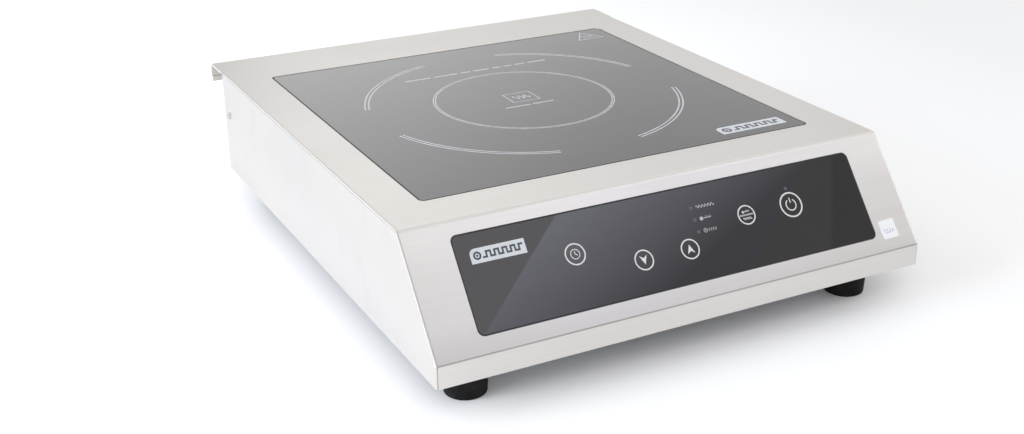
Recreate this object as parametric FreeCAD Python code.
import FreeCAD, Part
import math
import os

# Countertop induction hob: a folded steel casing on rubber feet, a glass-ceramic top plate,
# a sloped touch panel and, inside, the work coil, the power electronics and two cooling fans.
#
# Frame: millimetres. +Z is up, +Y points to the rear, +X to the right seen from the front.
# The origin is on the floor, below the middle of the casing's width and depth.

# ---------------------------------------------------------------- driving dimensions: casing
WIDTH = 340.0
DEPTH = 415.0
FOOT_GAP = 24.0
CASING_HEIGHT = 75.5
SHEET = 1.0
BEND_RADIUS = 2.0
TOP_BEND_RADIUS = 4.0
EDGE_RADIUS = 1.5
LIP_HEIGHT = 14.0
SLOPE_RUN = 49.5
OVERHANG = 30.0
CHANNEL_DROP = 14.0
HEM_HEIGHT = 4.0
PAN_RECESS = 1.0
FLANGE_WIDTH = 12.0
FIT_GAP = 0.2

# ---------------------------------------------------------------- driving dimensions: air slots
SLOT_WIDTH = 3.5
SLOT_PITCH = 7.0
INTAKE_SLOTS = 10
INTAKE_RADIUS = 35.0
DRAIN_SLOTS = 14
DRAIN_LENGTH = 18.0
DRAIN_Y = 150.0
OUTLET_SLOTS = 28
OUTLET_PITCH = 7.6
OUTLET_MIDDLE_X = -47.0
OUTLET_HEIGHT = 38.0
OUTLET_BELOW_TOP = 20.0

# ---------------------------------------------------------------- driving dimensions: glass
GLASS_WIDTH = 280.0
GLASS_DEPTH = 274.0
GLASS_THICKNESS = 4.0
GLASS_DROP = 0.1
GLASS_CORNER = 3.0
GLASS_FRONT_MARGIN = 33.0
GLASS_CHAMFER = 0.4
GLASS_GAP = 0.9
SEAL_BED = 0.6
SEAL_SINK = 0.3
FRAME_SHEET = 1.2
LEDGE_WIDTH = 10.0

# ---------------------------------------------------------------- driving dimensions: controls
CONTROL_LENGTH = 280.0
CONTROL_WIDTH = 58.4
CONTROL_THICKNESS = 3.0
CONTROL_CORNER = 3.6
CONTROL_FROM_LIP = 40.0
CONTROL_GAP = 0.6
CONTROL_BED = 0.5
CONTROL_LEDGE = 6.0
CONTROL_FLANGE = 5.0
CARRIER_LENGTH = 276.0
CARRIER_WIDTH = 54.0
CARRIER_WELL_LENGTH = 256.0
CARRIER_WELL_WIDTH = 43.0
CARRIER_WALL = 1.5
CARRIER_DEPTH = 11.5
CONTROL_BOARD_LENGTH = 250.0
CONTROL_BOARD_WIDTH = 40.0
CONTROL_BOARD_DROP = 8.4
BOARD_THICKNESS = 1.6
TOUCH_KEYS = [(-68.4, 3.8), (-26.2, -8.8), (6.2, -8.8), (52.4, 3.8), (86.4, 3.8)]
INDICATORS = [(15.8, 15.4), (15.8, 7.8), (15.8, 0.2), (86.4, 14.6)]

# ---------------------------------------------------------------- driving dimensions: feet
FOOT_X = 138.5
FOOT_FROM_ENDS = 31.2
FOOT_BOTTOM_RADIUS = 12.8
FOOT_TOP_RADIUS = 14.0
FOOT_COLLAR_HEIGHT = 4.0
FOOT_EDGE_RADIUS = 1.0
FOOT_POCKET_RADIUS = 5.0
FOOT_POCKET_DEPTH = 14.0

# ---------------------------------------------------------------- driving dimensions: screws
SCREW_RADIUS = 2.0
SCREW_CLEARANCE = 0.2
THREAD_CLEARANCE = 0.05
HEAD_RADIUS = 3.8
HEAD_HEIGHT = 2.2
SIDE_HEAD_RADIUS = 3.0
SIDE_HEAD_HEIGHT = 0.8
RECESS_WIDTH = 0.8
RECESS_SPAN = 4.2
RECESS_SHARE = 0.55
SMALL_SCREW_RADIUS = 1.5
SIDE_SCREW_FROM_REAR = 10.5
SIDE_SCREW_BELOW_TOP = 30.0
SCREW_INSET = 7.5
BASE_SCREW_LENGTH = 8.0
NUT_HEIGHT = 3.2

# ---------------------------------------------------------------- driving dimensions: cord gland
GLAND_X = 110.0
GLAND_Z = 48.0
GLAND_THREAD_RADIUS = 8.0
GLAND_BORE_RADIUS = 5.5
GLAND_SEAL_BORE = 4.5
GLAND_SEAL_RADIUS = 6.9
GLAND_HEX = 22.0
GLAND_SEAL_FROM_WALL = 1.5
GLAND_SEAL_LENGTH = 13.0
GLAND_NOSE_RADIUS = 5.4
GLAND_NOSES = (1.4, 2.0)

# ---------------------------------------------------------------- driving dimensions: coil
COIL_TURNS = 18
COIL_PITCH = 4.2
COIL_INNER_RADIUS = 24.0
COIL_HEIGHT = 5.0
FORMER_RADIUS = 104.0
FORMER_THICKNESS = 4.0
FORMER_TOP_Z = 88.0
FERRITE_COUNT = 8
FERRITE_LENGTH = 60.0
FERRITE_WIDTH = 12.0
FERRITE_HEIGHT = 5.0
FERRITE_START = 34.0
POST_CIRCLE = 115.0
POST_RADIUS = 4.0
SENSOR_RADIUS = 9.0

# ---------------------------------------------------------------- driving dimensions: electronics
STANDOFF_HEIGHT = 8.0
POWER_BOARD_X = 100.0
POWER_BOARD_FRONT = -48.0
POWER_BOARD_REAR = 112.0
BOARD_HOLE_INSET = 6.0
SINK_LENGTH = 160.0
SINK_FRONT = -36.0
SINK_REAR = 8.0
SINK_BASE = 5.0
SINK_HEIGHT = 28.0
SINK_LIFT = 4.4
FIN_PITCH = 7.8
FIN_THICKNESS = 1.6
PLUG_HEIGHT = 6.4
PLUG_DEPTH = 6.0
FAN_PLUG_X = (-40.0, 40.0)
SENSOR_PLUG_Y = 28.0
COIL_TERMINALS_X = (-40.0, -54.0)
COIL_TERMINAL_Y = 104.0
COIL_TERMINAL_HEIGHT = 12.0
LEG_PITCH = 5.4
TRANSISTOR_X = (-52.0, -26.0)
TRANSISTOR_WIDTH = 16.0
RECTIFIER_X = 40.0
RECTIFIER_WIDTH = 30.0
RESONANT_CAPACITOR = (42.0, 20.0, 31.0)
RESONANT_CAPACITOR_PLACES = [(-62.0, 36.0), (8.0, 36.0)]
FILTER_CAPACITOR = (38.0, 22.0, 34.0)
FILTER_CAPACITOR_PLACE = (-62.0, 64.0)
CHOKE_PLACE = (12.0, 82.0)
CHOKE_RADIUS = 16.0
CHOKE_WIRE_RADIUS = 6.5
TRANSFORMER_PLACE = (-81.0, 67.0)
TRANSFORMER_CORE = (26.0, 34.0, 18.0)
TRANSFORMER_BOBBIN = (32.0, 22.0, 28.0)
FUSE_X = 72.0
FUSE_SPAN = (50.0, 82.0)
FUSE_RADIUS = 3.1
TERMINAL_BLOCK = (42.0, 16.0, 18.0)
TERMINAL_BLOCK_PLACE = (40.0, 94.0)
TERMINAL_PITCH = 13.0

# ---------------------------------------------------------------- driving dimensions: wiring
RIBBON_X = 16.0
RIBBON_WIDTH = 16.0
RIBBON_THICKNESS = 1.2
RIBBON_Z = 39.5
RIBBON_FROM_MIDDLE = -10.0
RIBBON_HEADER_HEIGHT = 4.0
COIL_LEAD_RADIUS = 1.6
SENSOR_LEAD_RADIUS = 1.2
FAN_LEAD_RADIUS = 1.0

# ---------------------------------------------------------------- driving dimensions: fans
FAN_SIZE = 80.0
FAN_DEPTH = 25.0
FAN_X = 70.0
FAN_Y = -105.0
FAN_BORE = 38.5
FAN_HUB = 17.0
FAN_HUB_WALL = 1.5
FAN_BLADES = 7
FAN_BLADE_RADIUS = 37.0
FAN_BLADE_TILT = 38.0
FAN_HOLE_PITCH = 71.5
SHAFT_RADIUS = 1.5
SHAFT_CLEARANCE = 0.03
BEARING_RADIUS = 4.0
BEARING_WIDTH = 4.0

# ---------------------------------------------------------------- positions worked out from them
BASE_Z = FOOT_GAP
TOP_Z = BASE_Z + CASING_HEIGHT
LIP_TOP_Z = BASE_Z + LIP_HEIGHT
FRONT_Y = -DEPTH / 2.0
REAR_Y = DEPTH / 2.0
SIDE_REAR_Y = REAR_Y - OVERHANG
TOP_FRONT_Y = FRONT_Y + SLOPE_RUN
SIDE_X = WIDTH / 2.0
SLOPE_ANGLE = math.atan2(TOP_Z - LIP_TOP_Z, SLOPE_RUN)
PAN_LOW = BASE_Z + PAN_RECESS
PAN_TOP = PAN_LOW + SHEET
GLASS_Y = TOP_FRONT_Y + GLASS_FRONT_MARGIN + GLASS_DEPTH / 2.0
GLASS_TOP = TOP_Z - GLASS_DROP
GLASS_LOW = GLASS_TOP - GLASS_THICKNESS
LEDGE_TOP = GLASS_LOW - SEAL_BED
BOARD_LOW = PAN_TOP + STANDOFF_HEIGHT
BOARD_TOP = BOARD_LOW + BOARD_THICKNESS
SINK_LOW = BOARD_TOP + SINK_LIFT
CONTROL_BOARD_TOP = -CONTROL_BOARD_DROP
CARRIER_TOP = -(CONTROL_THICKNESS + CONTROL_BED + SHEET)
CARRIER_LOW = CARRIER_TOP - CARRIER_DEPTH
FOOT_FRONT_Y = FRONT_Y + FOOT_FROM_ENDS
FOOT_REAR_Y = SIDE_REAR_Y - FOOT_FROM_ENDS
SLOPE_ORIGIN = FreeCAD.Placement(
    FreeCAD.Vector(
        0.0,
        FRONT_Y + CONTROL_FROM_LIP * math.cos(SLOPE_ANGLE),
        LIP_TOP_Z + CONTROL_FROM_LIP * math.sin(SLOPE_ANGLE),
    ),
    FreeCAD.Rotation(FreeCAD.Vector(1, 0, 0), math.degrees(SLOPE_ANGLE)),
)
STRIP_SCREWS = [(side * (SIDE_X - SCREW_INSET), y) for side in (-1, 1) for y in (-150.0, 0.0, 130.0)]
STRIP_SCREWS += [(x, FRONT_Y + SCREW_INSET) for x in (-80.0, 80.0)]
REAR_SCREWS = [(x, SIDE_REAR_Y - SCREW_INSET) for x in (-80.0, 80.0)]
FEET = {
    "foot_front_left": (-FOOT_X, FOOT_FRONT_Y),
    "foot_front_right": (FOOT_X, FOOT_FRONT_Y),
    "foot_rear_left": (-FOOT_X, FOOT_REAR_Y),
    "foot_rear_right": (FOOT_X, FOOT_REAR_Y),
}
FANS = {"fan_left": -FAN_X, "fan_right": FAN_X}
POSTS = [
    (POST_CIRCLE * math.cos(turn), GLASS_Y + POST_CIRCLE * math.sin(turn))
    for turn in (0.0, math.pi / 2.0, math.pi, 3.0 * math.pi / 2.0)
]
BOARD_HOLES = [
    (side * (POWER_BOARD_X - BOARD_HOLE_INSET), y)
    for side in (-1, 1)
    for y in (POWER_BOARD_FRONT + BOARD_HOLE_INSET, POWER_BOARD_REAR - BOARD_HOLE_INSET)
]
FAN_HOLES = [
    (x + sx * FAN_HOLE_PITCH / 2.0, FAN_Y + sy * FAN_HOLE_PITCH / 2.0)
    for x in FANS.values()
    for sx in (-1, 1)
    for sy in (-1, 1)
]


# ---------------------------------------------------------------- small builders
def vec(x, y, z):
    return FreeCAD.Vector(x, y, z)


def box(x0, x1, y0, y1, z0, z1):
    return Part.makeBox(x1 - x0, y1 - y0, z1 - z0, vec(x0, y0, z0))


def rod(radius, low, high, centre=(0.0, 0.0)):
    """An upright cylinder."""
    return Part.makeCylinder(radius, high - low, vec(centre[0], centre[1], low))


def rod_y(radius, low, high, x, z):
    """A cylinder along Y."""
    return Part.makeCylinder(radius, high - low, vec(x, low, z), vec(0, 1, 0))


def sleeve(outer, inner, low, high, centre=(0.0, 0.0)):
    """An upright tube."""
    return rod(outer, low, high, centre).cut(rod(inner, low - 1.0, high + 1.0, centre))


def fused(shapes):
    """One solid from touching or overlapping shapes."""
    return shapes[0].multiFuse(shapes[1:]).removeSplitter()


def spread(count, pitch, middle=0.0):
    """Evenly spaced places, centred on middle."""
    return [middle + (step - (count - 1) / 2.0) * pitch for step in range(count)]


def prism_x(points, half_width):
    """A side outline of (y, z) points, extruded to both sides of the middle plane."""
    ring = [vec(-half_width, y, z) for y, z in points]
    face = Part.Face(Part.makePolygon(ring + ring[:1]))
    return face.extrude(vec(2.0 * half_width, 0, 0))


def hexagon_y(across, low, high, x, z):
    """A hexagonal bar along Y."""
    radius = across / math.sqrt(3.0)
    turns = [math.radians(60.0 * step) for step in range(6)]
    ring = [vec(x + radius * math.cos(turn), low, z + radius * math.sin(turn)) for turn in turns]
    return Part.Face(Part.makePolygon(ring + ring[:1])).extrude(vec(0, high - low, 0))


def rounded_plate(width, depth, radius, low, high, centre=(0.0, 0.0)):
    """A plate with rounded upright corners."""
    x, y = centre
    plate = box(x - width / 2.0, x + width / 2.0, y - depth / 2.0, y + depth / 2.0, low, high)
    upright = [edge for edge in plate.Edges if edge.BoundBox.ZLength > (high - low) / 2.0]
    return plate.makeFillet(radius, upright)


def frame_ring(size, corner, outer, inner, low, high, centre=(0.0, 0.0)):
    """A ring that follows a rounded rectangle, between two outward offsets."""
    def grown(offset, z0, z1):
        radius = max(corner + offset, 1.0)
        return rounded_plate(size[0] + 2.0 * offset, size[1] + 2.0 * offset, radius, z0, z1, centre)
    return grown(outer, low, high).cut(grown(inner, low - 1.0, high + 1.0))


def slot_y(width, length, centre, low, high):
    """A round-ended slot through a flat sheet, running along Y."""
    x, y = centre
    straight = (length - width) / 2.0
    parts = [box(x - width / 2.0, x + width / 2.0, y - straight, y + straight, low, high)]
    parts += [rod(width / 2.0, low, high, (x, y + end * straight)) for end in (-1, 1)]
    return fused(parts)


def screw(point, facing, length, radius=SCREW_RADIUS, head_radius=HEAD_RADIUS, head=HEAD_HEIGHT):
    """A pan-head screw with a cross recess; its head sits on point and faces outward."""
    cap = rod(head_radius, 0.0, head)
    rim = [edge for edge in cap.Edges if edge.BoundBox.ZMin > head - 0.01]
    cap = cap.makeFillet(head * 0.4, rim)
    half = RECESS_SPAN * head_radius / HEAD_RADIUS / 2.0
    low = head * (1.0 - RECESS_SHARE)
    for span in ((half, RECESS_WIDTH / 2.0), (RECESS_WIDTH / 2.0, half)):
        cap = cap.cut(box(-span[0], span[0], -span[1], span[1], low, head + 1.0))
    whole = fused([cap, rod(radius, -length, 0.0)])
    turn = FreeCAD.Rotation(vec(0, 0, 1), vec(*facing))
    whole.Placement = FreeCAD.Placement(vec(*point), turn)
    return whole


def on_slope(shape):
    """Moves a shape built on the XY plane to the outer face of the sloped front."""
    placed = shape.copy()
    placed.Placement = SLOPE_ORIGIN.multiply(placed.Placement)
    return placed


def route(points):
    """Straight runs joined by tangent arcs, each as large as its two runs allow."""
    edges = []
    start = points[0]
    for before, corner, after in zip(points, points[1:], points[2:]):
        back = before.sub(corner)
        ahead = after.sub(corner)
        trim = 0.45 * min(back.Length, ahead.Length)
        turn = math.pi - back.getAngle(ahead)
        radius = trim / math.tan(turn / 2.0)
        back.normalize()
        ahead.normalize()
        inward = back.add(ahead)
        inward.normalize()
        entry = corner.add(back.multiply(trim))
        leave = corner.add(ahead.multiply(trim))
        middle = corner.add(inward.multiply(radius / math.cos(turn / 2.0) - radius))
        edges.append(Part.LineSegment(start, entry).toShape())
        edges.append(Part.Arc(entry, middle, leave).toShape())
        start = leave
        print("bend radius", round(radius, 1))
    edges.append(Part.LineSegment(start, points[-1]).toShape())
    return Part.Wire(edges)


def lead(radius, points):
    """A round insulated wire along a route."""
    points = [vec(*point) for point in points]
    section = Part.Wire([Part.makeCircle(radius, points[0], points[1].sub(points[0]))])
    path = route(points)
    wire = path.makePipeShell([section], True, False)
    expected = math.pi * radius * radius * path.Length
    print("wire volume", round(wire.Volume, 1), "expected", round(expected, 1))
    return wire


# ---------------------------------------------------------------- casing
def round_fold(solid, height, radius):
    """Rounds the front fold that runs across the casing at that height."""
    fold = [
        edge for edge in solid.Edges
        if edge.BoundBox.XLength > WIDTH / 2.0
        and abs(edge.BoundBox.ZMax - height) < 0.01
        and edge.BoundBox.ZLength < 0.01
        and edge.BoundBox.YMax < TOP_FRONT_Y + 10.0
    ]
    return solid.makeFillet(radius, fold)


def casing_block():
    """The casing's outer form, with its folds and ground corners rounded."""
    outline = [
        (FRONT_Y, BASE_Z),
        (FRONT_Y, LIP_TOP_Z),
        (TOP_FRONT_Y, TOP_Z),
        (SIDE_REAR_Y, TOP_Z),
        (SIDE_REAR_Y, BASE_Z),
    ]
    block = prism_x(outline, SIDE_X)
    block = round_fold(block, LIP_TOP_Z, BEND_RADIUS)
    block = round_fold(block, TOP_Z, TOP_BEND_RADIUS)
    corners = [
        edge for edge in block.Edges
        if edge.BoundBox.XLength < 0.01
        and edge.BoundBox.ZMax > BASE_Z + 1.0
        and edge.BoundBox.YMin < SIDE_REAR_Y - 0.01
    ]
    return block.makeFillet(EDGE_RADIUS, corners)


def casing_hollow():
    """The space inside the casing's sheet, open below and behind."""
    lip_miter = math.tan((math.pi / 2.0 - SLOPE_ANGLE) / 2.0) * SHEET
    top_miter = math.tan(SLOPE_ANGLE / 2.0) * SHEET
    outline = [
        (FRONT_Y + SHEET, BASE_Z - 1.0),
        (FRONT_Y + SHEET, LIP_TOP_Z - lip_miter),
        (TOP_FRONT_Y + top_miter, TOP_Z - SHEET),
        (SIDE_REAR_Y + 1.0, TOP_Z - SHEET),
        (SIDE_REAR_Y + 1.0, BASE_Z - 1.0),
    ]
    hollow = prism_x(outline, SIDE_X - SHEET)
    hollow = round_fold(hollow, LIP_TOP_Z - lip_miter, BEND_RADIUS - SHEET)
    return round_fold(hollow, TOP_Z - SHEET, TOP_BEND_RADIUS - SHEET)


def rear_channel():
    """The top sheet's overhang: turned down at the rear, with a closed hem along its edge."""
    low = TOP_Z - CHANNEL_DROP
    outline = [
        (SIDE_REAR_Y, TOP_Z),
        (REAR_Y, TOP_Z),
        (REAR_Y, low),
        (REAR_Y - 2.0 * SHEET, low),
        (REAR_Y - 2.0 * SHEET, low + HEM_HEIGHT),
        (REAR_Y - SHEET, low + HEM_HEIGHT),
        (REAR_Y - SHEET, TOP_Z - SHEET),
        (SIDE_REAR_Y, TOP_Z - SHEET),
    ]
    channel = prism_x(outline, SIDE_X)
    fold = [
        edge for edge in channel.Edges
        if edge.BoundBox.XLength > WIDTH / 2.0
        and edge.BoundBox.YMin > REAR_Y - 0.01
        and edge.BoundBox.ZMin > TOP_Z - 0.01
    ]
    channel = channel.makeFillet(BEND_RADIUS, fold)
    hem = [
        edge for edge in channel.Edges
        if edge.BoundBox.XLength > WIDTH / 2.0 and edge.BoundBox.ZMax < low + 0.01
    ]
    return channel.makeFillet(SHEET * 0.9, hem)


def pan_flanges():
    """Inward strips along the casing's lower edge that the base pan screws to."""
    low = PAN_TOP
    high = PAN_TOP + SHEET
    wall = SIDE_X - SHEET
    front = FRONT_Y + SHEET
    rear = SIDE_REAR_Y - 20.0
    strips = [box(-wall, wall, front, front + FLANGE_WIDTH, low, high)]
    strips.append(box(-wall, FLANGE_WIDTH - wall, front, rear, low, high))
    strips.append(box(wall - FLANGE_WIDTH, wall, front, rear, low, high))
    ring = fused(strips)
    for x, y in STRIP_SCREWS:
        ring = ring.cut(rod(SCREW_RADIUS + THREAD_CLEARANCE, low - 1.0, high + 1.0, (x, y)))
    return ring


def top_cover():
    shell = fused([casing_block().cut(casing_hollow()), rear_channel(), pan_flanges()])
    window = rounded_plate(
        GLASS_WIDTH + 2.0 * GLASS_GAP, GLASS_DEPTH + 2.0 * GLASS_GAP, GLASS_CORNER + GLASS_GAP,
        TOP_Z - 2.0 * SHEET, TOP_Z + 1.0, (0.0, GLASS_Y),
    )
    panel_window = on_slope(rounded_plate(
        CONTROL_LENGTH + 2.0 * CONTROL_GAP, CONTROL_WIDTH + 2.0 * CONTROL_GAP,
        CONTROL_CORNER + CONTROL_GAP, -2.0 * SHEET, 1.0,
    ))
    side_hole = Part.makeCylinder(
        SCREW_RADIUS + SCREW_CLEARANCE, WIDTH + 2.0,
        vec(-SIDE_X - 1.0, SIDE_REAR_Y - SIDE_SCREW_FROM_REAR, TOP_Z - SIDE_SCREW_BELOW_TOP),
        vec(1, 0, 0),
    )
    return shell.cut(window).cut(panel_window).cut(side_hole)


def base_pan():
    """The flat floor, with round-ended intake slots below each fan and outlet slots behind."""
    wall = SIDE_X - SHEET - FIT_GAP
    pan = box(-wall, wall, FRONT_Y + SHEET + FIT_GAP, SIDE_REAR_Y - SHEET - FIT_GAP, PAN_LOW, PAN_TOP)
    low = PAN_LOW - 1.0
    high = PAN_TOP + 1.0
    cuts = []
    for x in FANS.values():
        for offset in spread(INTAKE_SLOTS, SLOT_PITCH):
            length = 2.0 * math.sqrt(INTAKE_RADIUS ** 2 - offset ** 2)
            cuts.append(slot_y(SLOT_WIDTH, length, (x + offset, FAN_Y), low, high))
    for x in spread(DRAIN_SLOTS, SLOT_PITCH):
        cuts.append(slot_y(SLOT_WIDTH, DRAIN_LENGTH, (x, DRAIN_Y), low, high))
    holes = STRIP_SCREWS + REAR_SCREWS + list(FEET.values()) + POSTS + FAN_HOLES
    cuts += [rod(SCREW_RADIUS + SCREW_CLEARANCE, low, high, hole) for hole in holes]
    cuts += [rod(SMALL_SCREW_RADIUS + SCREW_CLEARANCE, low, high, hole) for hole in BOARD_HOLES]
    return pan.cut(Part.makeCompound(cuts))


def rear_panel():
    """The rear wall between the sides, with outlet slots, a gland hole and screw flanges."""
    wall = SIDE_X - SHEET - FIT_GAP
    inner = SIDE_REAR_Y - SHEET
    high = TOP_Z - SHEET - FIT_GAP
    side_flange = 2.0 * (SIDE_SCREW_FROM_REAR - SHEET)
    parts = [box(-wall, wall, inner, SIDE_REAR_Y, BASE_Z + FIT_GAP, high)]
    parts.append(box(-wall, wall, inner - FLANGE_WIDTH, inner, PAN_TOP, PAN_TOP + SHEET))
    parts.append(box(-wall, SHEET - wall, inner - side_flange + SHEET, inner, PAN_TOP, high))
    parts.append(box(wall - SHEET, wall, inner - side_flange + SHEET, inner, PAN_TOP, high))
    panel = fused(parts)
    near = inner - 1.0
    far = SIDE_REAR_Y + 1.0
    cuts = [rod_y(GLAND_THREAD_RADIUS + SCREW_CLEARANCE, near, far, GLAND_X, GLAND_Z)]
    half = SLOT_WIDTH / 2.0
    slot_top = TOP_Z - OUTLET_BELOW_TOP
    slot_low = slot_top - OUTLET_HEIGHT
    for x in spread(OUTLET_SLOTS, OUTLET_PITCH, OUTLET_MIDDLE_X):
        cuts.append(box(x - half, x + half, near, far, slot_low, slot_top))
        cuts += [rod_y(half, near, far, x, z) for z in (slot_low, slot_top)]
    cuts.append(Part.makeCylinder(
        SCREW_RADIUS + THREAD_CLEARANCE, WIDTH,
        vec(-SIDE_X, SIDE_REAR_Y - SIDE_SCREW_FROM_REAR, TOP_Z - SIDE_SCREW_BELOW_TOP), vec(1, 0, 0),
    ))
    for x, y in REAR_SCREWS:
        cuts.append(rod(SCREW_RADIUS + THREAD_CLEARANCE, PAN_TOP - 1.0, PAN_TOP + SHEET + 1.0, (x, y)))
    return panel.cut(Part.makeCompound(cuts))


def rear_panel_screws():
    y = SIDE_REAR_Y - SIDE_SCREW_FROM_REAR
    z = TOP_Z - SIDE_SCREW_BELOW_TOP
    head = {"head_radius": SIDE_HEAD_RADIUS, "head": SIDE_HEAD_HEIGHT}
    return [screw((side * SIDE_X, y, z), (side, 0, 0), BASE_SCREW_LENGTH, **head) for side in (-1, 1)]


def base_screws():
    return [screw((x, y, PAN_LOW), (0, 0, -1), BASE_SCREW_LENGTH) for x, y in STRIP_SCREWS + REAR_SCREWS]


# ---------------------------------------------------------------- feet
def foot(centre):
    """A slightly tapered rubber foot with a collar on top and a screw pocket below."""
    collar_low = PAN_LOW - FOOT_COLLAR_HEIGHT
    body = Part.makeCone(FOOT_BOTTOM_RADIUS, FOOT_TOP_RADIUS, collar_low, vec(centre[0], centre[1], 0.0))
    tread = [edge for edge in body.Edges if edge.BoundBox.ZMax < 0.01]
    body = body.makeFillet(FOOT_EDGE_RADIUS, tread)
    collar = rod(FOOT_TOP_RADIUS - 1.0, collar_low, PAN_LOW, centre)
    pocket = rod(FOOT_POCKET_RADIUS, -1.0, FOOT_POCKET_DEPTH, centre)
    hole = rod(SCREW_RADIUS + SCREW_CLEARANCE, -1.0, PAN_LOW + 1.0, centre)
    return fused([body, collar]).cut(pocket).cut(hole)


def foot_screws():
    """Each foot's screw, and the nut above the pan that holds it."""
    length = PAN_TOP + NUT_HEIGHT + SCREW_RADIUS - FOOT_POCKET_DEPTH
    pieces = [screw((x, y, FOOT_POCKET_DEPTH), (0, 0, -1), length) for x, y in FEET.values()]
    nut_bore = SCREW_RADIUS + THREAD_CLEARANCE
    nut_top = PAN_TOP + NUT_HEIGHT
    pieces += [sleeve(HEAD_RADIUS, nut_bore, PAN_TOP, nut_top, place) for place in FEET.values()]
    return pieces


# ---------------------------------------------------------------- cooking surface
def glass_plate():
    plate = rounded_plate(GLASS_WIDTH, GLASS_DEPTH, GLASS_CORNER, GLASS_LOW, GLASS_TOP, (0.0, GLASS_Y))
    rim = [edge for edge in plate.Edges if edge.BoundBox.ZMin > GLASS_TOP - 0.01]
    return plate.makeChamfer(GLASS_CHAMFER, rim)


def glass_seal():
    """Silicone in the gap round the plate and in a bed below its edge."""
    size = (GLASS_WIDTH, GLASS_DEPTH)
    place = (0.0, GLASS_Y)
    joint = frame_ring(size, GLASS_CORNER, GLASS_GAP, 0.0, LEDGE_TOP, GLASS_TOP - SEAL_SINK, place)
    bed = frame_ring(size, GLASS_CORNER, 0.0, -0.8 * LEDGE_WIDTH, LEDGE_TOP, GLASS_LOW, place)
    return fused([joint, bed])


def ledge_frame(size, corner, gap, ledge, flange, sheet, roof, shelf, centre=(0.0, 0.0)):
    """A Z-section frame welded under a window: flange below the sheet, web, and inner ledge."""
    top = frame_ring(size, corner, gap + sheet + flange, gap, roof - sheet, roof, centre)
    web = frame_ring(size, corner, gap + sheet, gap, shelf - sheet, roof, centre)
    step = frame_ring(size, corner, gap + sheet, -ledge, shelf - sheet, shelf, centre)
    return fused([top, web, step])


def glass_support_frame():
    return ledge_frame(
        (GLASS_WIDTH, GLASS_DEPTH), GLASS_CORNER, GLASS_GAP, LEDGE_WIDTH, LEDGE_WIDTH,
        FRAME_SHEET, TOP_Z - SHEET, LEDGE_TOP, (0.0, GLASS_Y),
    )


# ---------------------------------------------------------------- control panel
def control_glass():
    plate = rounded_plate(CONTROL_LENGTH, CONTROL_WIDTH, CONTROL_CORNER, -CONTROL_THICKNESS, 0.0)
    rim = [edge for edge in plate.Edges if edge.BoundBox.ZMin > -0.01]
    return on_slope(plate.makeChamfer(GLASS_CHAMFER, rim))


def control_gasket():
    size = (CONTROL_LENGTH, CONTROL_WIDTH)
    low = -CONTROL_THICKNESS - CONTROL_BED
    joint = frame_ring(size, CONTROL_CORNER, CONTROL_GAP, 0.0, low, -SEAL_SINK)
    bed = frame_ring(size, CONTROL_CORNER, 0.0, -0.8 * CONTROL_LEDGE, low, -CONTROL_THICKNESS)
    return on_slope(fused([joint, bed]))


def control_support_frame():
    return on_slope(ledge_frame(
        (CONTROL_LENGTH, CONTROL_WIDTH), CONTROL_CORNER, CONTROL_GAP, CONTROL_LEDGE, CONTROL_FLANGE,
        SHEET, -SHEET, -CONTROL_THICKNESS - CONTROL_BED,
    ))


def control_carrier():
    """A plastic tray behind the panel, with bosses for the control board."""
    rim = rounded_plate(CARRIER_LENGTH, CARRIER_WIDTH, 3.0, CARRIER_TOP - CARRIER_WALL, CARRIER_TOP)
    tub = rounded_plate(
        CARRIER_WELL_LENGTH + 2.0 * CARRIER_WALL, CARRIER_WELL_WIDTH + 2.0 * CARRIER_WALL,
        3.0, CARRIER_LOW, CARRIER_TOP,
    )
    well = rounded_plate(
        CARRIER_WELL_LENGTH, CARRIER_WELL_WIDTH, 1.5, CARRIER_LOW + CARRIER_WALL, CARRIER_TOP + 1.0,
    )
    cable_slot = box(
        RIBBON_X - 12.0, RIBBON_X + 12.0, RIBBON_FROM_MIDDLE - 4.0, RIBBON_FROM_MIDDLE + 4.0,
        CARRIER_LOW - 1.0, CARRIER_TOP,
    )
    boss_top = CONTROL_BOARD_TOP - BOARD_THICKNESS
    bosses = [
        rod(3.0, CARRIER_LOW + CARRIER_WALL, boss_top, (x, y))
        for x in (-119.0, 119.0)
        for y in (-15.0, 15.0)
    ]
    tray = fused([rim, tub]).cut(well).cut(cable_slot)
    return on_slope(fused([tray] + bosses))


def control_board():
    """The touch and display board, with its ribbon header on the back."""
    low = CONTROL_BOARD_TOP - BOARD_THICKNESS
    board = rounded_plate(CONTROL_BOARD_LENGTH, CONTROL_BOARD_WIDTH, 1.0, low, CONTROL_BOARD_TOP)
    header = box(
        RIBBON_X - 10.0, RIBBON_X + 10.0, RIBBON_FROM_MIDDLE - 3.0, RIBBON_FROM_MIDDLE + 3.0,
        low - RIBBON_HEADER_HEIGHT, low,
    )
    return on_slope(fused([board, header]))


def touch_pads():
    """Soft conductive pads that carry each key's field from the board to the glass."""
    return [
        on_slope(sleeve(6.0, 3.0, CONTROL_BOARD_TOP, -CONTROL_THICKNESS, place))
        for place in TOUCH_KEYS
    ]


def led_display():
    """A digit module with a recessed window for each digit."""
    top = -CONTROL_THICKNESS - 0.3
    body = box(-37.0, 7.0, 5.0, 19.0, CONTROL_BOARD_TOP, top)
    windows = [
        box(x, x + 7.0, 7.5, 16.5, top - 0.5, top + 1.0)
        for x in (-34.5, -24.0, -13.5, -3.0)
    ]
    return on_slope(body.cut(Part.makeCompound(windows)))


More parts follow.
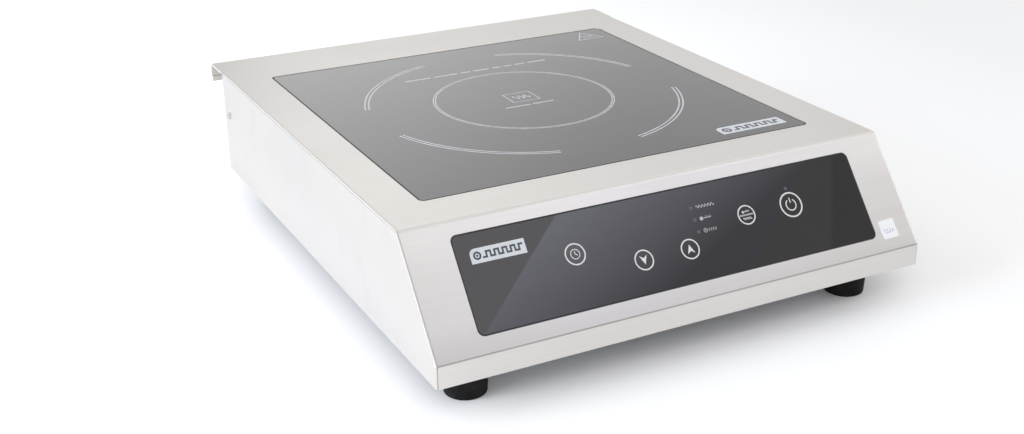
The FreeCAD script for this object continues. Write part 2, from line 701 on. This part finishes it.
def indicator_leds():
    lamps = []
    for place in INDICATORS:
        base = rod(1.9, CONTROL_BOARD_TOP, CONTROL_BOARD_TOP + 1.0, place)
        lens = rod(1.5, CONTROL_BOARD_TOP + 1.0, CONTROL_BOARD_TOP + 3.0, place)
        dome = Part.makeSphere(1.5, vec(place[0], place[1], CONTROL_BOARD_TOP + 3.0))
        lamps.append(on_slope(fused([base, lens, dome])))
    return lamps


def buzzer():
    place = (-104.0, -6.0)
    body = rod(6.0, CONTROL_BOARD_TOP, CONTROL_BOARD_TOP + 4.5, place)
    port = rod(1.0, CONTROL_BOARD_TOP + 3.0, CONTROL_BOARD_TOP + 6.0, place)
    return on_slope(body.cut(port))


def ribbon_cable():
    """A flat cable from the control board's header to the power board's front header."""
    header_low = CONTROL_BOARD_TOP - BOARD_THICKNESS - RIBBON_HEADER_HEIGHT
    start = SLOPE_ORIGIN.multVec(vec(RIBBON_X, RIBBON_FROM_MIDDLE, header_low))
    inward = vec(0, math.sin(SLOPE_ANGLE), -math.cos(SLOPE_ANGLE))
    corner = start.add(FreeCAD.Vector(inward).multiply((start.z - RIBBON_Z) / -inward.z))
    end = vec(RIBBON_X, POWER_BOARD_FRONT + 1.0, RIBBON_Z)
    across = vec(RIBBON_WIDTH / 2.0, 0, 0)
    thick = inward.cross(vec(1, 0, 0)).multiply(RIBBON_THICKNESS / 2.0)
    ring = [
        start.add(across).add(thick),
        start.sub(across).add(thick),
        start.sub(across).sub(thick),
        start.add(across).sub(thick),
    ]
    section = Part.makePolygon(ring + ring[:1])
    return route([start, corner, end]).makePipeShell([section], True, False)


# ---------------------------------------------------------------- cord gland
def cord_gland_body():
    wall_in = SIDE_REAR_Y - SHEET
    parts = [rod_y(GLAND_THREAD_RADIUS, wall_in - 9.0, SIDE_REAR_Y + 12.0, GLAND_X, GLAND_Z)]
    parts.append(hexagon_y(GLAND_HEX, SIDE_REAR_Y, SIDE_REAR_Y + 5.0, GLAND_X, GLAND_Z))
    body = fused(parts)
    bore = rod_y(GLAND_BORE_RADIUS, wall_in - 10.0, SIDE_REAR_Y + 13.0, GLAND_X, GLAND_Z)
    seat_radius = GLAND_SEAL_RADIUS + THREAD_CLEARANCE
    seat = rod_y(seat_radius, SIDE_REAR_Y + GLAND_SEAL_FROM_WALL, SIDE_REAR_Y + 13.0, GLAND_X, GLAND_Z)
    return body.cut(bore).cut(seat)


def cord_gland_seal():
    """A rubber sleeve whose narrower ends reach into the body's bore and the cap's mouth."""
    low = SIDE_REAR_Y + GLAND_SEAL_FROM_WALL
    high = low + GLAND_SEAL_LENGTH
    inner_end = low - GLAND_NOSES[0]
    outer_end = high + GLAND_NOSES[1]
    middle = rod_y(GLAND_SEAL_RADIUS, low, high, GLAND_X, GLAND_Z)
    noses = rod_y(GLAND_NOSE_RADIUS, inner_end, outer_end, GLAND_X, GLAND_Z)
    bore = rod_y(GLAND_SEAL_BORE, inner_end - 1.0, outer_end + 1.0, GLAND_X, GLAND_Z)
    return fused([middle, noses]).cut(bore)


def cord_gland_cap():
    """The domed clamping nut, with grip flats round its lower half."""
    low = SIDE_REAR_Y + 5.2
    waist = SIDE_REAR_Y + 12.0
    high = SIDE_REAR_Y + 18.5
    grip = hexagon_y(GLAND_HEX, low, waist, GLAND_X, GLAND_Z)
    dome = rod_y(GLAND_HEX / 2.0 - 0.6, waist, high, GLAND_X, GLAND_Z)
    crown = [edge for edge in dome.Edges if edge.BoundBox.YMin > high - 0.01]
    body = fused([grip, dome.makeFillet(3.0, crown)])
    thread = rod_y(GLAND_THREAD_RADIUS + THREAD_CLEARANCE, low - 1.0, SIDE_REAR_Y + 12.2, GLAND_X, GLAND_Z)
    seat_end = SIDE_REAR_Y + GLAND_SEAL_FROM_WALL + GLAND_SEAL_LENGTH + FIT_GAP
    seat = rod_y(GLAND_SEAL_RADIUS + THREAD_CLEARANCE, low, seat_end, GLAND_X, GLAND_Z)
    mouth = rod_y(GLAND_BORE_RADIUS, low, high + 1.0, GLAND_X, GLAND_Z)
    return body.cut(thread).cut(seat).cut(mouth)


def cord_gland_locknut():
    high = SIDE_REAR_Y - SHEET
    nut = hexagon_y(GLAND_HEX, high - 4.0, high, GLAND_X, GLAND_Z)
    return nut.cut(rod_y(GLAND_THREAD_RADIUS + THREAD_CLEARANCE, high - 5.0, high + 1.0, GLAND_X, GLAND_Z))


# ---------------------------------------------------------------- work coil
def turned(shape, degrees):
    """A copy turned about the coil's upright axis."""
    copy = shape.copy()
    copy.rotate(vec(0.0, GLASS_Y, 0.0), vec(0, 0, 1), degrees)
    return copy


def ferrite_bar(grow=0.0, low=0.0, high=0.0):
    """The bar that lies along +X from the coil's axis, or its pocket when grown."""
    return box(
        FERRITE_START - grow, FERRITE_START + FERRITE_LENGTH + grow,
        GLASS_Y - FERRITE_WIDTH / 2.0 - grow, GLASS_Y + FERRITE_WIDTH / 2.0 + grow,
        low, high,
    )


def coil_former():
    """The coil's plastic plate: mounting ears, and a fenced pocket below for each ferrite bar."""
    low = FORMER_TOP_Z - FORMER_THICKNESS
    parts = [rod(FORMER_RADIUS, low, FORMER_TOP_Z, (0.0, GLASS_Y))]
    ear = box(FORMER_RADIUS - 6.0, POST_CIRCLE + 6.0, GLASS_Y - 8.0, GLASS_Y + 8.0, low, FORMER_TOP_Z)
    fence = ferrite_bar(1.7, low - FERRITE_HEIGHT, low)
    fence = fence.cut(ferrite_bar(0.2, low - FERRITE_HEIGHT - 1.0, low))
    parts += [turned(ear, 90.0 * step) for step in range(4)]
    step_angle = 360.0 / FERRITE_COUNT
    parts += [turned(fence, step_angle * (step + 0.5)) for step in range(FERRITE_COUNT)]
    cuts = [rod(SCREW_RADIUS + SCREW_CLEARANCE, low - 1.0, FORMER_TOP_Z + 1.0, post) for post in POSTS]
    cuts.append(rod(3.0, low - 1.0, FORMER_TOP_Z + 1.0, (0.0, GLASS_Y)))
    return fused(parts).cut(Part.makeCompound(cuts))


def ferrite_bars():
    high = FORMER_TOP_Z - FORMER_THICKNESS
    bar = ferrite_bar(0.0, high - FERRITE_HEIGHT, high)
    step_angle = 360.0 / FERRITE_COUNT
    return [turned(bar, step_angle * (step + 0.5)) for step in range(FERRITE_COUNT)]


def coil_winding():
    """Flat pancake winding: a turned section whose top shows each turn of stranded wire."""
    low = FORMER_TOP_Z
    shoulder = low + 0.6 * COIL_HEIGHT
    high = low + COIL_HEIGHT
    edges = []
    for turn in range(COIL_TURNS):
        start = COIL_INNER_RADIUS + turn * COIL_PITCH
        edges.append(Part.Arc(
            vec(start, GLASS_Y, shoulder),
            vec(start + COIL_PITCH / 2.0, GLASS_Y, high),
            vec(start + COIL_PITCH, GLASS_Y, shoulder),
        ).toShape())
    outer = COIL_INNER_RADIUS + COIL_TURNS * COIL_PITCH
    corners = [
        vec(outer, GLASS_Y, shoulder),
        vec(outer, GLASS_Y, low),
        vec(COIL_INNER_RADIUS, GLASS_Y, low),
        vec(COIL_INNER_RADIUS, GLASS_Y, shoulder),
    ]
    edges += [Part.LineSegment(a, b).toShape() for a, b in zip(corners, corners[1:])]
    return Part.Face(Part.Wire(edges)).revolve(vec(0.0, GLASS_Y, 0.0), vec(0, 0, 1), 360.0)


def coil_insulation_sheet():
    low = FORMER_TOP_Z + COIL_HEIGHT
    return sleeve(FORMER_RADIUS, SENSOR_RADIUS + 1.0, low, low + 1.0, (0.0, GLASS_Y))


def temperature_sensor():
    """A soft puck against the glass, with its moulded lead down to the power board."""
    puck = rod(SENSOR_RADIUS, FORMER_TOP_Z, GLASS_LOW, (0.0, GLASS_Y))
    tail = lead(SENSOR_LEAD_RADIUS, [
        (0.0, GLASS_Y, FORMER_TOP_Z + 2.0),
        (0.0, GLASS_Y, 60.0),
        (0.0, SENSOR_PLUG_Y, 52.0),
        (0.0, SENSOR_PLUG_Y, BOARD_TOP + PLUG_HEIGHT),
    ])
    return fused([puck, tail])


def coil_posts():
    """Pillars from the pan to the former's ears, threaded at both ends."""
    low = PAN_TOP
    high = FORMER_TOP_Z - FORMER_THICKNESS
    hole = SCREW_RADIUS + THREAD_CLEARANCE
    pillars = []
    for post in POSTS:
        pillar = rod(POST_RADIUS, low, high, post)
        pillar = pillar.cut(rod(hole, low - 1.0, low + 12.0, post))
        pillars.append(pillar.cut(rod(hole, high - 12.0, high + 1.0, post)))
    return pillars


def coil_screws():
    upper = [screw((x, y, FORMER_TOP_Z), (0, 0, 1), FORMER_THICKNESS + 8.0) for x, y in POSTS]
    lower = [screw((x, y, PAN_LOW), (0, 0, -1), 10.0) for x, y in POSTS]
    return upper + lower


def coil_leads():
    """Two insulated leads from the winding's rim, over the former's edge, to the board."""
    outer = COIL_INNER_RADIUS + COIL_TURNS * COIL_PITCH
    leads = []
    for x in COIL_TERMINALS_X:
        rim_y = GLASS_Y + math.sqrt(outer ** 2 - x ** 2)
        leads.append(lead(COIL_LEAD_RADIUS, [
            (x, rim_y - 2.0, FORMER_TOP_Z + 2.2),
            (x, rim_y + 20.0, FORMER_TOP_Z + 0.5),
            (x, 134.0, 68.0),
            (x, 126.0, 48.0),
            (x, COIL_TERMINAL_Y, BOARD_TOP + 7.0),
        ]))
    return leads


# ---------------------------------------------------------------- power electronics
def plug(x, width, front, height):
    """A soldered header on the power board."""
    return box(x - width / 2.0, x + width / 2.0, front, front + PLUG_DEPTH, BOARD_TOP, BOARD_TOP + height)


def power_board():
    """The main board with its soldered headers and coil terminals."""
    board = box(
        -POWER_BOARD_X, POWER_BOARD_X, POWER_BOARD_FRONT, POWER_BOARD_REAR, BOARD_LOW, BOARD_TOP,
    )
    for hole in BOARD_HOLES:
        board = board.cut(rod(SMALL_SCREW_RADIUS + SCREW_CLEARANCE, BOARD_LOW - 1.0, BOARD_TOP + 1.0, hole))
    front = POWER_BOARD_FRONT + 1.0
    rear = COIL_TERMINAL_Y
    parts = [board, plug(RIBBON_X, 20.0, front, PLUG_HEIGHT + 1.0)]
    parts.append(plug(0.0, 10.0, SENSOR_PLUG_Y - PLUG_DEPTH / 2.0, PLUG_HEIGHT))
    parts += [plug(x, 8.0, front, PLUG_HEIGHT) for x in FAN_PLUG_X]
    parts += [
        box(x - 4.5, x + 4.5, rear - 10.0, rear, BOARD_TOP, BOARD_TOP + COIL_TERMINAL_HEIGHT)
        for x in COIL_TERMINALS_X
    ]
    return fused(parts)


def board_standoffs():
    bore = SMALL_SCREW_RADIUS + THREAD_CLEARANCE
    return [sleeve(3.5, bore, PAN_TOP, BOARD_LOW, hole) for hole in BOARD_HOLES]


def board_screws():
    """Small screws into both ends of each standoff."""
    size = {"radius": SMALL_SCREW_RADIUS, "head_radius": 2.8, "head": 1.9}
    upper = [screw((x, y, BOARD_TOP), (0, 0, 1), 5.0, **size) for x, y in BOARD_HOLES]
    lower = [screw((x, y, PAN_LOW), (0, 0, -1), 4.5, **size) for x, y in BOARD_HOLES]
    return upper + lower


def heatsink():
    """An extruded sink with its fins along the air stream, on four corner pins."""
    half = SINK_LENGTH / 2.0
    parts = [box(-half, half, SINK_FRONT, SINK_REAR, SINK_LOW, SINK_LOW + SINK_BASE)]
    for x in spread(int((SINK_LENGTH - FIN_THICKNESS) / FIN_PITCH) + 1, FIN_PITCH):
        parts.append(box(
            x - FIN_THICKNESS / 2.0, x + FIN_THICKNESS / 2.0, SINK_FRONT, SINK_REAR,
            SINK_LOW + SINK_BASE, SINK_LOW + SINK_HEIGHT,
        ))
    parts += [
        rod(2.0, BOARD_TOP, SINK_LOW, (x, y))
        for x in (-half + 4.0, half - 4.0)
        for y in (SINK_FRONT + 4.0, SINK_REAR - 4.0)
    ]
    return fused(parts)


def flat_package(x, width, legs):
    """A power package lying under the heatsink, its legs soldered to the board in front."""
    front = SINK_FRONT + 10.0
    rear = SINK_REAR - 10.0
    parts = [box(x - width / 2.0, x + width / 2.0, front, rear, BOARD_TOP + 0.1, SINK_LOW)]
    for leg_x in spread(legs, LEG_PITCH, x):
        parts.append(box(leg_x - 0.7, leg_x + 0.7, front - 6.0, front, BOARD_TOP, BOARD_TOP + 1.2))
    return fused(parts)


def power_transistors():
    return [flat_package(x, TRANSISTOR_WIDTH, 3) for x in TRANSISTOR_X]


def bridge_rectifier():
    return flat_package(RECTIFIER_X, RECTIFIER_WIDTH, 4)


def boxed_capacitor(place, size):
    """A potted box with softened edges, standing on the board."""
    x, y = place
    body = box(x, x + size[0], y, y + size[1], BOARD_TOP, BOARD_TOP + size[2])
    edges = [edge for edge in body.Edges if edge.BoundBox.ZMax > BOARD_TOP + 1.0]
    return body.makeFillet(1.0, edges)


def resonant_capacitors():
    return [boxed_capacitor(place, RESONANT_CAPACITOR) for place in RESONANT_CAPACITOR_PLACES]


def filter_capacitor():
    return boxed_capacitor(FILTER_CAPACITOR_PLACE, FILTER_CAPACITOR)


def filter_choke():
    """A toroidal choke lying on the board."""
    x, y = CHOKE_PLACE
    middle = BOARD_TOP + CHOKE_WIRE_RADIUS
    winding = Part.makeTorus(CHOKE_RADIUS, CHOKE_WIRE_RADIUS, vec(x, y, middle))
    base = sleeve(CHOKE_RADIUS + 3.0, CHOKE_RADIUS - 3.0, BOARD_TOP, middle, CHOKE_PLACE)
    return fused([winding, base])


def supply_transformer():
    """A laminated core round a taped bobbin that stands on the board."""
    def block(size, lift):
        x, y = TRANSFORMER_PLACE
        low = BOARD_TOP + lift
        return box(
            x - size[0] / 2.0, x + size[0] / 2.0, y - size[1] / 2.0, y + size[1] / 2.0, low, low + size[2],
        )
    return fused([block(TRANSFORMER_BOBBIN, 0.0), block(TRANSFORMER_CORE, 6.0)])


def fuse():
    """A glass cartridge fuse in its two clips."""
    front, rear = FUSE_SPAN
    middle = BOARD_TOP + 5.0
    barrel = rod_y(FUSE_RADIUS, front, rear, FUSE_X, middle)
    clips = [
        box(FUSE_X - 4.0, FUSE_X + 4.0, y, y + 5.0, BOARD_TOP, middle)
        for y in (front + 1.0, rear - 6.0)
    ]
    return fused([barrel] + clips)


def terminal_block():
    """A mains terminal block with one screw well and one wire mouth for each core."""
    width, depth, height = TERMINAL_BLOCK
    left, front = TERMINAL_BLOCK_PLACE
    low = BOARD_TOP
    rear = front + depth
    body = box(left, left + width, front, rear, low, low + height)
    cuts = []
    for x in spread(3, TERMINAL_PITCH, left + width / 2.0):
        cuts.append(rod(3.2, low + height / 2.0, low + height + 1.0, (x, front + 6.0)))
        cuts.append(rod_y(2.6, rear - 7.0, rear + 1.0, x, low + 6.0))
    return body.cut(Part.makeCompound(cuts))


# ---------------------------------------------------------------- cooling fans
def fan_housing(x):
    """A square fan frame whose struts carry the motor hub and the bearing tube."""
    place = (x, FAN_Y)
    low = PAN_TOP
    high = low + FAN_DEPTH
    frame = rounded_plate(FAN_SIZE, FAN_SIZE, 4.0, low, high, place)
    frame = frame.cut(rod(FAN_BORE, low - 1.0, high + 1.0, place))
    hub_low = high - 3.0
    parts = [frame, rod(FAN_HUB, hub_low, high, place)]
    for step in range(4):
        strut = box(x + FAN_HUB - 1.0, x + FAN_BORE + 1.0, FAN_Y - 2.0, FAN_Y + 2.0, hub_low, high)
        strut.rotate(vec(x, FAN_Y, 0.0), vec(0, 0, 1), 45.0 + 90.0 * step)
        parts.append(strut)
    parts.append(rod(BEARING_RADIUS + 1.0, low + 6.0, hub_low, place))
    body = fused(parts)
    body = body.cut(rod(BEARING_RADIUS, low + 5.0, hub_low, place))
    corner_holes = [
        rod(SCREW_RADIUS + THREAD_CLEARANCE, low - 1.0, high + 1.0, hole)
        for hole in FAN_HOLES
        if abs(hole[0] - x) < FAN_SIZE
    ]
    return body.cut(Part.makeCompound(corner_holes))


def fan_stator(x):
    """Four wound poles round the bearing tube."""
    low = PAN_TOP + 8.5
    high = PAN_TOP + 18.5
    place = (x, FAN_Y)
    parts = [sleeve(8.0, BEARING_RADIUS + 1.0, low, high, place)]
    for step in range(4):
        pole = box(x + 7.0, x + 12.0, FAN_Y - 2.2, FAN_Y + 2.2, low + 1.0, high - 1.0)
        shoe = box(x + 11.0, x + 13.0, FAN_Y - 4.6, FAN_Y + 4.6, low + 1.0, high - 1.0)
        arm = fused([pole, shoe])
        arm.rotate(vec(x, FAN_Y, 0.0), vec(0, 0, 1), 90.0 * step)
        parts.append(arm)
    return fused(parts).common(rod(13.0, low - 1.0, high + 1.0, place))


def fan_bearings():
    bore = SHAFT_RADIUS + SHAFT_CLEARANCE
    return [
        sleeve(BEARING_RADIUS - SHAFT_CLEARANCE, bore, PAN_TOP + z, PAN_TOP + z + BEARING_WIDTH, (x, FAN_Y))
        for x in FANS.values()
        for z in (7.0, 17.5)
    ]


def fan_shaft(x):
    return rod(SHAFT_RADIUS, PAN_TOP + 1.0, PAN_TOP + 21.7, (x, FAN_Y))


def fan_magnet(x):
    outer = FAN_HUB - FAN_HUB_WALL - THREAD_CLEARANCE
    return sleeve(outer, outer - 1.4, PAN_TOP + 6.0, PAN_TOP + 19.5, (x, FAN_Y))


def fan_rotor(x):
    """The hub cup with tilted blades that stay clear of the frame's bore."""
    place = (x, FAN_Y)
    low = PAN_TOP + 1.0
    high = PAN_TOP + 20.5
    cup = rod(FAN_HUB, low, high, place)
    cup = cup.cut(rod(FAN_HUB - FAN_HUB_WALL, low + 2.0, high + 1.0, place))
    boss = rod(3.2, low, low + 4.5, place)
    span = sleeve(FAN_BLADE_RADIUS, FAN_HUB - 0.5, low + 1.5, high - 1.0, place)
    parts = [cup, boss]
    for step in range(FAN_BLADES):
        blade = box(0.0, FAN_BLADE_RADIUS + 2.0, -16.0, 16.0, -0.8, 0.8)
        blade.rotate(vec(0, 0, 0), vec(1, 0, 0), FAN_BLADE_TILT)
        blade.translate(vec(x, FAN_Y, (low + high) / 2.0))
        blade.rotate(vec(x, FAN_Y, 0.0), vec(0, 0, 1), 360.0 / FAN_BLADES * step)
        parts.append(blade.common(span))
    return fused(parts).cut(rod(SHAFT_RADIUS, low - 1.0, low + 6.0, place))


def fan_screws():
    return [screw((x, y, PAN_LOW), (0, 0, -1), 12.0) for x, y in FAN_HOLES]


def fan_leads():
    """Each fan's lead from its frame to its header on the power board."""
    start_y = FAN_Y + FAN_SIZE / 2.0
    header_y = POWER_BOARD_FRONT + 4.0
    return [
        lead(FAN_LEAD_RADIUS, [
            (x, start_y, PAN_TOP + 21.0),
            (x, start_y + 12.0, PAN_TOP + 26.0),
            (x, header_y, PAN_TOP + 26.0),
            (x, header_y, BOARD_TOP + PLUG_HEIGHT),
        ])
        for x in FAN_PLUG_X
    ]


# ---------------------------------------------------------------- export
def save(name, pieces):
    """Writes one node: a solid, or a list of separate solids."""
    if isinstance(pieces, list):
        shape = Part.makeCompound(pieces)
    else:
        shape = pieces
    shape.exportStep(os.path.join("parts", name + ".step"))
    print(name, "solids", len(shape.Solids), "valid", shape.isValid(), "volume", round(shape.Volume))


def main():
    os.makedirs("parts", exist_ok=True)
    makers = [
        top_cover, glass_support_frame, glass_plate, glass_seal,
        control_support_frame, control_glass, control_gasket,
        base_pan, rear_panel, rear_panel_screws, base_screws, foot_screws,
        cord_gland_body, cord_gland_seal, cord_gland_cap, cord_gland_locknut,
        coil_former, coil_winding, ferrite_bars, coil_insulation_sheet,
        temperature_sensor, coil_posts, coil_screws, coil_leads,
        power_board, board_standoffs, board_screws, heatsink, power_transistors,
        bridge_rectifier, resonant_capacitors, filter_capacitor, filter_choke,
        supply_transformer, fuse, terminal_block,
        control_carrier, control_board, touch_pads, led_display, indicator_leds,
        buzzer, ribbon_cable, fan_bearings, fan_screws, fan_leads,
    ]
    for maker in makers:
        save(maker.__name__, maker())
    for name, centre in FEET.items():
        save(name, foot(centre))
    for name, x in FANS.items():
        save(name + "_housing", fan_housing(x))
        save(name + "_stator", fan_stator(x))
        save(name + "_shaft", fan_shaft(x))
        save(name + "_magnet", fan_magnet(x))
        save(name + "_rotor", fan_rotor(x))


main()
